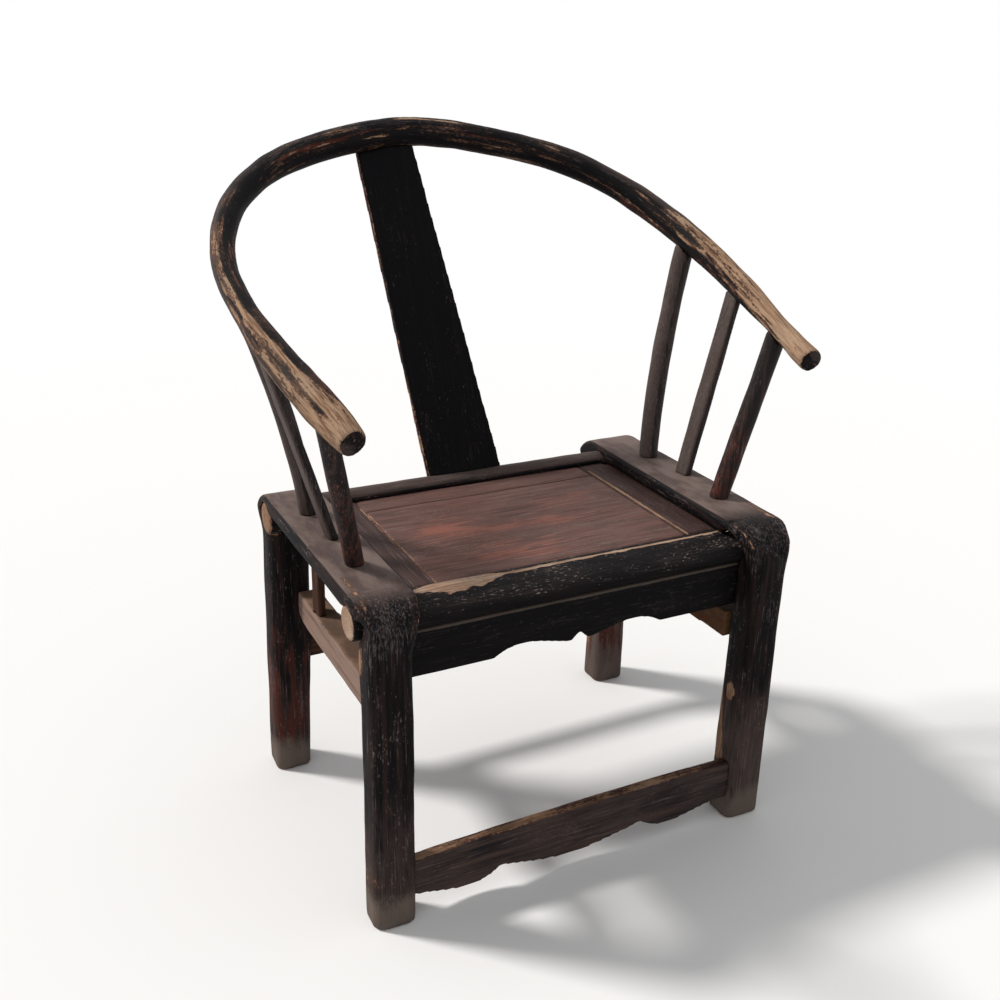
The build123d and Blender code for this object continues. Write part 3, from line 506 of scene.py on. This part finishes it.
# ------------------------------------------------------------------ crest rail
LEFT_ARM = np.array([      # distance from the tip, start of the bare band, its end, how bare
    (0, -1.4, 1.4, .98), (.03, -1.3, 1.1, .88), (.07, -1.15, .85, .76), (.15, -.85, .50, .70),
    (.22, -.65, .32, .68), (.28, -.45, .12, .62), (.33, -.70, .05, .60), (.372, -.85, -.15, .58),
    (.42, -.98, -.35, .52), (.49, -1.0, -.5, .42), (.56, -.98, -.7, .1), (.60, -.9, -.8, 0),
])
RIGHT_ARM = np.array([
    (0, -1.4, 1.4, 1.1), (.05, -1.4, .80, 1.0), (.118, -1.4, .55, .92), (.185, -1.3, .28, .88),
    (.265, -1.15, -.1, .82), (.325, -1.05, -.38, .72), (.355, -.95, -.6, .5),
    (.40, -.85, -.75, .2), (.50, -.8, -.8, 0),
])
BAND_FADE = .14            # half the breadth over which the band's edges fade

crest = Piece("crest_rail", .0022, 6)
along, offset, tangent, crest_length = follow(crest.co, dense(CREST_POINTS, 900))
side = unit(np.cross(tangent, (0, 0, 1)))
over = np.cross(side, tangent)
crest.grain = np.stack([along, dot(offset, side), dot(offset, over)], axis=1)

# where each vertex is: from the arm tips, and round the pole as seen from the handled side
radius = np.linalg.norm(offset, axis=1).clip(.002)
from_left = along
from_right = crest_length - along
from_tip = np.minimum(from_left, from_right)
on_left = crest.co[:, 0] < 0
toward = WORN_SIDE - crest.co
toward = unit(toward - dot(toward, tangent)[:, None] * tangent)
lateral = dot(offset, np.cross(tangent, toward)) / radius   # -1 outer edge, 1 inner edge
shown = dot(offset, toward) / radius

# the bare band on each arm, and the mottled strip beside it
band = np.zeros(len(along))
level = np.zeros(len(along))
mottled = np.zeros(len(along))
for place, table, chosen in ((from_left, LEFT_ARM, on_left), (from_right, RIGHT_ARM, ~on_left)):
    start, stop, bareness = (np.interp(place, table[:, 0], column) for column in table.T[1:])
    inside = smoothstep(start - BAND_FADE, start + BAND_FADE, lateral)
    inside *= smoothstep(stop + BAND_FADE, stop - BAND_FADE, lateral)
    band = np.where(chosen, inside, band)
    level = np.where(chosen, bareness, level)
    beside = smoothstep(stop + .55, stop, lateral) * smoothstep(.36, .25, place)
    mottled = np.where(chosen, beside, mottled)
mottled[on_left & (lateral > 0)] = 0

# bare wood in streaks, dark end faces, and red where the lacquer is thin
streaks = noise(crest.grain, (.05, .0042, .0042), 17) + .6 * noise(crest.grain, (.016, .003, .003), 18)
bare = -.55 + (level + .45) * band * smoothstep(-.5, 0, shown)
bare = np.maximum(bare, -.1 + .46 * mottled * smoothstep(-.4, .1, shown) + .3 * streaks)
bare += (.30 + .12 * on_left) * streaks * (1 - smoothstep(.05, .01, from_tip))
normal = crest.normals()
end_face = (np.abs(dot(normal, tangent)) > .75) & (from_tip < .004)
bare[end_face] = -1
arms = smoothstep(.75, .35, from_tip)
rust = np.exp(-((lateral + .15) / .35) ** 2) * (noise(crest.grain, (.09, .02, .02), 19) > .1)
# the pale veil along the outer edge is a painted grey reflection
crest.paint(
    bare=bare,
    red=.22 + .35 * arms * smoothstep(.2, .8, np.abs(lateral)) + .55 * rust * (1 - arms) - .6 * end_face,
    veil=.55 * smoothstep(-.25, -.75, lateral) * (.35 + .65 * arms) + .27 * arms - .2,
    scuff=.7 * smoothstep(0, -.6, lateral),
    dust=.42 * on_left * smoothstep(.45, .2, from_left) - 1.5 * end_face,
)
slim = np.exp(-((from_left - .11) / .06) ** 2) * smoothstep(.3, .6, shown)   # the left arm is slimmer
crest.co -= normal * (.0011 * slim)[:, None]
crest.wear(.0004, .0011, 11)
crest.done(crest_wood)

# ------------------------------------------------------------------ bent frames
for number, (name, sign) in enumerate(SIDES):
    piece = Piece("leg_frame_" + name, .0022, 5)
    front_y, rear_y = FRONT_LEG_Y, REAR_LEG_Y[name]
    # the grain follows the pole up the front leg, along the rail and down the rear leg
    path = dense([(0, y, z) for y, z in (
        (front_y, 0), (front_y, .36), (front_y + .01, .385),
        (front_y + .03, RAIL_MID_Z), (front_y + .06, RAIL_MID_Z), (rear_y - .046, RAIL_MID_Z),
        (rear_y - .02, .391), (rear_y - .004, .378), (rear_y, .35), (rear_y, 0),
    )], 700)
    along, offset, tangent, _ = follow(piece.co * (0, 1, 1), path)
    across = offset[:, 1] * -tangent[:, 2] + offset[:, 2] * tangent[:, 1]
    piece.grain = np.stack([along, piece.co[:, 0], across], axis=1)
    normal = piece.normals()
    x, y, z = piece.co.T
    up = normal[:, 2]
    rear = y > 0

    # the rail's top, worn and also painted paler as painted light from above, which begins further forward
    # on the left, and the front bend below it
    top = smoothstep(.80, .97, up) * smoothstep(.385, .399, z) * smoothstep(-.272, -.195, y - .012 * sign)
    bend = smoothstep(-.225, -.26, y) * smoothstep(.33, .37, z)
    brown_foot = (sign > 0) * smoothstep(.26, .14, z) * np.where(rear, .28, .18)
    foot_dust = smoothstep(.075, .02, z) * (1 - .45 * (sign > 0) * rear)
    low_red = smoothstep(.27, .10, z) * smoothstep(.02, .06, z)
    ring = np.zeros(len(x))
    for foot_x, foot_y, foot_radius in SPINDLE_FEET[name]:
        reach = np.hypot(x - sign * foot_x, y - foot_y) - foot_radius
        ring = np.maximum(ring, np.exp(-(reach / .005) ** 2) * (z > .395))

    # bare wood on the front bend's arris and on each side's legs; splay is the legs' shift towards +X
    facing_left = smoothstep(.3, .8, -normal[:, 0])
    arris = np.exp(-((np.abs(x) - np.where(up > .3, .268, .266)) / .004) ** 2) * (z > .36) * (y < -.19)
    bare = .02 - .3 * (top < .1) * (z > .3) + .55 * arris
    if sign > 0:
        strip = facing_left * smoothstep(.006, .014, y + .252 + (.203 - z) * .18) * (y < -.2)
        strip *= smoothstep(.235, .21, z) * smoothstep(.06, .09, z)
        strip_rear = facing_left * smoothstep(rear_y - .004, rear_y + .008, y) * smoothstep(.02, .05, z)
        torn = noise(piece.co, .006, 5)
        chip = np.exp(-(((y + .262 + .003 * torn) / .007) ** 2 + ((z - .180 - .004 * torn) / .012) ** 2))
        bare += .95 * strip + .5 * strip_rear + 1.4 * chip * (x < .222)
        splay = .005 * smoothstep(.36, .16, z) * rear
    else:
        under = facing_left * smoothstep(-.27, -.255, y) * (y < -.2)
        bare += under * np.exp(-((z - .335) / .03) ** 2)
        bare += .3 * facing_left * smoothstep(.30, .05, z) * (y < 0)
        inner = smoothstep(-.25, -.235, x) * smoothstep(0, .25, z) * smoothstep(.382, .37, z)
        splay = .0022 * smoothstep(.36, .20, z) * (y < 0) + .005 * inner * rear
    # the pale veil on the rail's top is partly painted light from above
    piece.paint(
        bare=bare,
        red=.12 + .24 * low_red + .30 * rear * smoothstep(.33, .25, z) + .10 * bend,
        dust=.6 * ring + .90 * foot_dust + .08 * top,
        veil=.95 * top + .08 * bend + .36 * smoothstep(.27, .08, z) + brown_foot,
        scuff=.75 * bend * (1 - top) + .4 * top,
    )
    piece.wear(.00035, .0006, 23 + number)
    piece.shift(0, splay)
    piece.done(frame_wood)

# ------------------------------------------------------------------ arm spindles
SPINDLE_LEAN = {           # sideways drift of the lower part, in metres
    ("rear", "right"): -.0035, ("front", "right"): -.0040, ("rear", "left"): .0020,
}
for number, (kind, name) in enumerate(product(("rear", "middle", "front"), ("left", "right"))):
    piece = Piece(f"{kind}_spindle_{name}", .0016, 6)
    piece.grain_axis([2, 0, 1])
    dark = kind == "front"
    height = smoothstep(.40, .62, piece.co[:, 2])
    lit = smoothstep(.55, .05, piece.normals() @ PICTURE_RIGHT)
    # faces turned left, towards the light, get the pale veil as painted light; faces turned right lose it
    # as painted shade
    piece.paint(
        red=.15 + (.52 * (1 - .8 * height) if dark else 0),
        veil=(-.15 + .35 * height if dark else .52) * lit - .6 * (1 - lit),
    )
    piece.wear(.0002, .0005, 41 + number)
    piece.shift(0, SPINDLE_LEAN.get((kind, name), 0) * (1 - height))
    piece.done(spindle_wood)

# ------------------------------------------------------------------ back splat
splat = Piece("back_splat", .0022)
along = splat.co[:, 2] * SPLAT_RISE + splat.co[:, 1] * SPLAT_RUN
through = splat.co[:, 1] * SPLAT_RISE - splat.co[:, 2] * SPLAT_RUN
splat.grain = np.stack([along, splat.co[:, 0], through], axis=1)
side_face = smoothstep(.5, .9, np.abs(splat.normals()[:, 0]))
splat.paint(bare=.45 * side_face, red=.2 + .3 * side_face)
splat.wear(.0002, .0004, 61)
splat.done(splat_wood)

# ------------------------------------------------------------------ seat
RED_PATCHES = [            # middle and reach, each along x and y
    (-.10, -.075, .05, .028), (-.045, -.165, .07, .03), (.085, -.05, .06, .022), (.02, -.10, .09, .02),
]
for node in ("seat_board_front", "seat_board_rear"):
    piece = Piece(node, .0024)
    piece.grain_axis([0, 1, 2])
    x, y, z = piece.co.T
    patch = sum(np.exp(-((x - cx) / rx) ** 2 - ((y - cy) / ry) ** 2) for cx, cy, rx, ry in RED_PATCHES)
    seam = smoothstep(.0035, .0010, np.abs(np.abs(x) - SEAM_X)) * (z > SEAT_FACE_Z)
    piece.paint(
        bare=(.55 + .15 * (x > 0)) * seam * (node == "seat_board_front"),
        red=.10 + .60 * patch,
        veil=.35 + .35 * noise(piece.co, .05, 5),
    )
    piece.wear(.00015, .0003, 71)
    piece.done(seat_wood)
SEAT_ENDS = (              # side, how far outside the seam its worn line lies, how bare it is, its veil
    ("left", .002, .5, .45), ("right", .0045, .75, .05),
)
for number, (name, outside, bareness, veil) in enumerate(SEAT_ENDS):
    piece = Piece("seat_end_" + name, .0022)
    piece.grain_axis([1, 0, 2])
    x, y, z = piece.co.T
    seam = smoothstep(.003, .001, np.abs(np.abs(x) - SEAM_X - outside)) * (z > SEAT_FACE_Z) * (y < .03)
    piece.paint(bare=bareness * seam, red=.2, veil=veil)
    piece.wear(.00015, .0003, 75 + number)
    piece.done(end_board_wood)
    plain_piece("seat_key_" + name, .0024, [1, 0, 2], .0003, 78 + number)

# ------------------------------------------------------------------ seat rails
nose = Piece("front_seat_rail", .0018)
nose.grain_axis([0, 1, 2])
x, y, z = nose.co.T
ends = end_grain(nose)
down = np.hypot(np.minimum(y + .215, 0), z - .3835)     # distance from the seat's front edge
chipped = np.exp(-((x + .140) / .043) ** 4)             # the long chip, left of the middle
reach = .0016 + .0150 * chipped + .0012 * noise(nose.co * [1, 0, 0], .012, 3)
torn = .55 * noise(nose.co, (.010, .006, .006), 4)
arris = smoothstep(-.2115 + .0095 * chipped, -.2135 + .0075 * chipped, y)
arris *= 1 - smoothstep(.6, 1.3, down / reach.clip(.0008) + torn)
# the pale veil on faces turned up is painted light from above
nose.paint(
    bare=1.1 * arris + .92 * ends,
    red=.15 + .2 * ends,
    veil=.12 * smoothstep(.5, .9, nose.normals()[:, 2]) + .9 * ends,
    scuff=1.1 * smoothstep(.364, .376, z) + .4 * smoothstep(.368, .38, z) - .5,
)
nose.wear(.0002, .0005, 81)
nose.fill_shoulders()
nose.done(nose_wood)
log = Piece("rear_seat_rail", .0022, 5)
log.grain_axis([0, 1, 2])
# the pale veil on the upper side is painted light from above
log.paint(bare=.92 * end_grain(log), red=.1, veil=.55 * smoothstep(.2, .9, log.normals()[:, 2]))
log.wear(.0003, .0006, 83)
log.shift(2, .0014 * smoothstep(.37, .39, log.co[:, 2]))
log.done(frame_wood)

# ------------------------------------------------------------------ aprons and stretcher
apron = Piece("front_apron", .0022)
apron.grain_axis([0, 1, 2])
# the pale line along the top edge is a painted highlight where the edge catches the light
apron.paint(dust=1.1 * smoothstep(.3482, .3496, apron.co[:, 2]))
apron.wear(.00015, .0003, 91)
apron.fill_shoulders()
apron.done(apron_wood)
plain_piece("rear_apron", .0024, [0, 1, 2], .0004, 93)
stretcher = Piece("front_stretcher", .0022)
stretcher.grain_axis([0, 1, 2])
z = stretcher.co[:, 2]
stretcher.paint(
    bare=.62 * smoothstep(.6, .95, stretcher.normals()[:, 2]) * smoothstep(.06, .07, z),
    red=.22,
    dust=.15 + .15 * smoothstep(.05, .03, z),
    veil=.33 + .2 * noise(stretcher.co, .06, 9),
)
stretcher.wear(.0003, .0005, 95)
stretcher.done(stretcher_wood)

# ------------------------------------------------------------------ side boards and struts
for number, (name, sign) in enumerate(SIDES):
    piece = Piece("side_board_" + name, .002)
    piece.grain_axis([1, 0, 2])
    normal = piece.normals()
    inner = smoothstep(.5, .9, -sign * normal[:, 0])
    # the pale veil on faces turned up is painted light from above
    piece.paint(red=.15 + .5 * inner, veil=smoothstep(.5, .9, normal[:, 2]) + .6 * inner)
    piece.wear(.0003, .0005, 101 + number)
    piece.done(board_wood if sign < 0 else warm_board_wood)
    plain_piece("side_strut_" + name, .0016, [2, 0, 1], .0003, 105 + number)


# ------------------------------------------------------------------ floor, light and camera
FLOOR_REACH = 8.0
FLOOR_DROP = .0005         # keeps the floor clear of the feet's soles
FLOOR_FADE = (.9, 2.6)     # how far from the middle the floor starts to vanish, and is gone
SOFT_LIGHT = .5            # the world's strength on the chair
WHITE_LIGHT = 1.0          # its strength for the camera and in reflections
SUN_DIRECTION = (.62, -.52, -.80)
SUN_BREADTH = math.radians(9)
CAMERA_PLACE = (-.6281, -1.2537, .9461)
CAMERA_RIGHT = np.array((.8892, -.4576, 0))
CAMERA_UP = np.array((.1716, .3335, .9270))
CAMERA_BACK = np.array((-.4242, -.8243, .3751))
CAMERA_ROLL = .0256


def floor():
    """A pale floor that looks lighter to the camera than to the chair, and vanishes further out."""
    mesh = bpy.data.meshes.new("floor")
    corners = [(x * FLOOR_REACH, y * FLOOR_REACH, 0) for x, y in ((-1, -1), (1, -1), (1, 1), (-1, 1))]
    mesh.from_pydata(corners, [], [(0, 1, 2, 3)])
    plane = bpy.data.objects.new("floor", mesh)
    scene.collection.objects.link(plane)
    plane.location.z = -FLOOR_DROP
    material = bpy.data.materials.new("pale_floor")
    n = Nodes(material)
    path = n.add("ShaderNodeLightPath")
    diffuse = n.add("ShaderNodeBsdfDiffuse")
    tint = n.mix(path.outputs["Is Camera Ray"], (.62, .62, .62), (.93, .93, .93))
    n.link(tint, diffuse.inputs["Color"])
    clear = n.add("ShaderNodeBsdfTransparent")
    place = n.add("ShaderNodeTexCoord")
    length = n.add("ShaderNodeVectorMath", operation="LENGTH")
    n.link(place.outputs["Object"], length.inputs[0])
    fade = n.step(length.outputs["Value"], *FLOOR_FADE)
    n.surface(n.blend(fade, diffuse.outputs[0], clear.outputs[0]), "ShaderNodeOutputMaterial")
    mesh.materials.append(material)


def studio():
    """Soft white light from all round, at its own strength for the camera and in reflections."""
    world = bpy.data.worlds.new("studio")
    scene.world = world
    n = Nodes(world)
    rays = n.add("ShaderNodeLightPath").outputs
    seen = n.math("MAXIMUM", rays["Is Camera Ray"], rays["Is Glossy Ray"])
    seen = n.math("MAXIMUM", seen, rays["Is Transmission Ray"])
    lights = []
    for strength in (SOFT_LIGHT, WHITE_LIGHT):
        light = n.add("ShaderNodeBackground")
        n.link((1, 1, 1), light.inputs["Color"])
        n.link(strength, light.inputs["Strength"])
        lights.append(light.outputs[0])
    n.surface(n.blend(seen, *lights), "ShaderNodeOutputWorld")


def aim(direction):
    """A rotation whose -Z axis points along the direction."""
    back = unit(-np.array([direction], float))
    right = unit(np.cross((0, 0, 1), back))
    return Matrix(np.vstack((right, np.cross(back, right), back)).T.tolist()).to_quaternion()


floor()
studio()

sun = bpy.data.lights.new("key", "SUN")
sun.energy = 2.6
sun.angle = SUN_BREADTH
sun.color = (1.0, .97, .93)
key = bpy.data.objects.new("key", sun)
key.rotation_mode = "QUATERNION"
key.rotation_quaternion = aim(SUN_DIRECTION)
scene.collection.objects.link(key)

lens = bpy.data.cameras.new("camera")
lens.lens = 41.72
lens.sensor_width = 36
lens.clip_start, lens.clip_end = .05, 60
camera = bpy.data.objects.new("camera", lens)
scene.collection.objects.link(camera)
right = math.cos(CAMERA_ROLL) * CAMERA_RIGHT + math.sin(CAMERA_ROLL) * CAMERA_UP
upright = -math.sin(CAMERA_ROLL) * CAMERA_RIGHT + math.cos(CAMERA_ROLL) * CAMERA_UP
columns = np.column_stack((right, upright, CAMERA_BACK, CAMERA_PLACE))
camera.matrix_world = Matrix((*columns.tolist(), (0, 0, 0, 1)))
scene.camera = camera
scene.view_settings.view_transform = "Standard"
